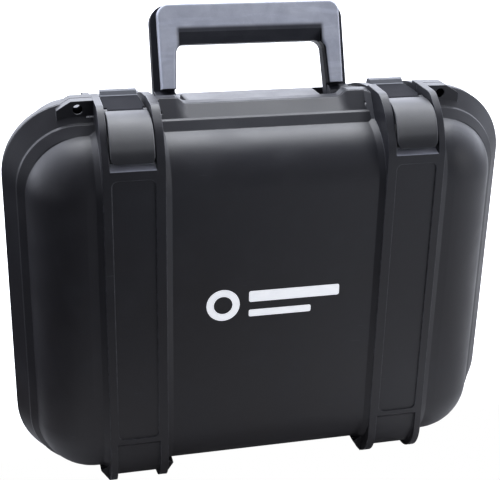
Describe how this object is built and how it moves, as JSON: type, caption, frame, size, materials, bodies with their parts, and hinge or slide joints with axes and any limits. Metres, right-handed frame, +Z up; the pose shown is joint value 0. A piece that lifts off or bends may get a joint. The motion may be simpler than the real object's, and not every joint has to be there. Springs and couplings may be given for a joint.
{
  "type": "hard carrying case",
  "caption": "Hard-shell carrying case for a handheld thermal camera, with a hinged lid, draw latches, a folding handle and fitted foam.",
  "frame": {"origin": "middle of the footprint on the ground, under the closed case", "axes": "+X across the case to the right seen from the lid side, +Y from lid to base (back), +Z up from the feet to the handle"},
  "size_m": [0.352, 0.1446, 0.3274],
  "materials": {
    "shell_plastic": "fine spark-eroded grain, satin sheen",
    "latch_plastic": "fine grain, satin",
    "handle_plastic": "smooth satin",
    "grip_rubber": "soft-touch overmould, faint grain",
    "pin_steel": "turned, bright",
    "seal_rubber": "extruded, matt",
    "foam": "open-cell charcoal foam",
    "mark_ink": "printed, matt white"
  },
  "bodies": {
    "base": {"base_shell": "shell_plastic", "foam_insert": "foam", "foam_floor": "foam", "hinge_pin_left": "pin_steel", "hinge_pin_right": "pin_steel", "handle_pin_left": "pin_steel", "handle_pin_right": "pin_steel"},
    "lid": {"lid_shell": "shell_plastic", "lid_seal": "seal_rubber", "foam_lid": "foam", "front_mark": "mark_ink", "lever_pin_left": "pin_steel", "lever_pin_right": "pin_steel"},
    "handle": {"handle_frame": "handle_plastic", "handle_grip": "grip_rubber"},
    "lever_left": {"latch_lever_left": "latch_plastic", "claw_pin_left": "pin_steel"},
    "claw_left": {"latch_claw_left": "latch_plastic"},
    "lever_right": {"latch_lever_right": "latch_plastic", "claw_pin_right": "pin_steel"},
    "claw_right": {"latch_claw_right": "latch_plastic"}
  },
  "joints": [
    {"name": "lid_hinge", "type": "hinge", "parent": "base", "child": "lid", "pos_m": [0, -0.02275, 0.005], "axis": [1, 0, 0], "range_deg": [0, 110]},
    {"name": "handle_swing", "type": "hinge", "parent": "base", "child": "handle", "pos_m": [0, 0.00625, 0.26], "axis": [1, 0, 0], "range_deg": [-55, 30]},
    {"name": "latch_left_open", "type": "hinge", "parent": "lid", "child": "lever_left", "pos_m": [-0.09525, -0.02975, 0.2655], "axis": [-1, 0, 0], "range_deg": [0, 80]},
    {"name": "claw_left_turn", "type": "hinge", "parent": "lever_left", "child": "claw_left", "pos_m": [-0.09525, -0.03725, 0.2694], "axis": [1, 0, 0], "range_deg": [0, 96]},
    {"name": "latch_right_open", "type": "hinge", "parent": "lid", "child": "lever_right", "pos_m": [0.09525, -0.02975, 0.2655], "axis": [-1, 0, 0], "range_deg": [0, 80]},
    {"name": "claw_right_turn", "type": "hinge", "parent": "lever_right", "child": "claw_right", "pos_m": [0.09525, -0.03725, 0.2694], "axis": [1, 0, 0], "range_deg": [0, 96]}
  ],
  "couplings": [
    {"joint": "claw_left_turn", "follows": "latch_left_open", "ratio": 1.2},
    {"joint": "claw_right_turn", "follows": "latch_right_open", "ratio": 1.2}
  ]
}
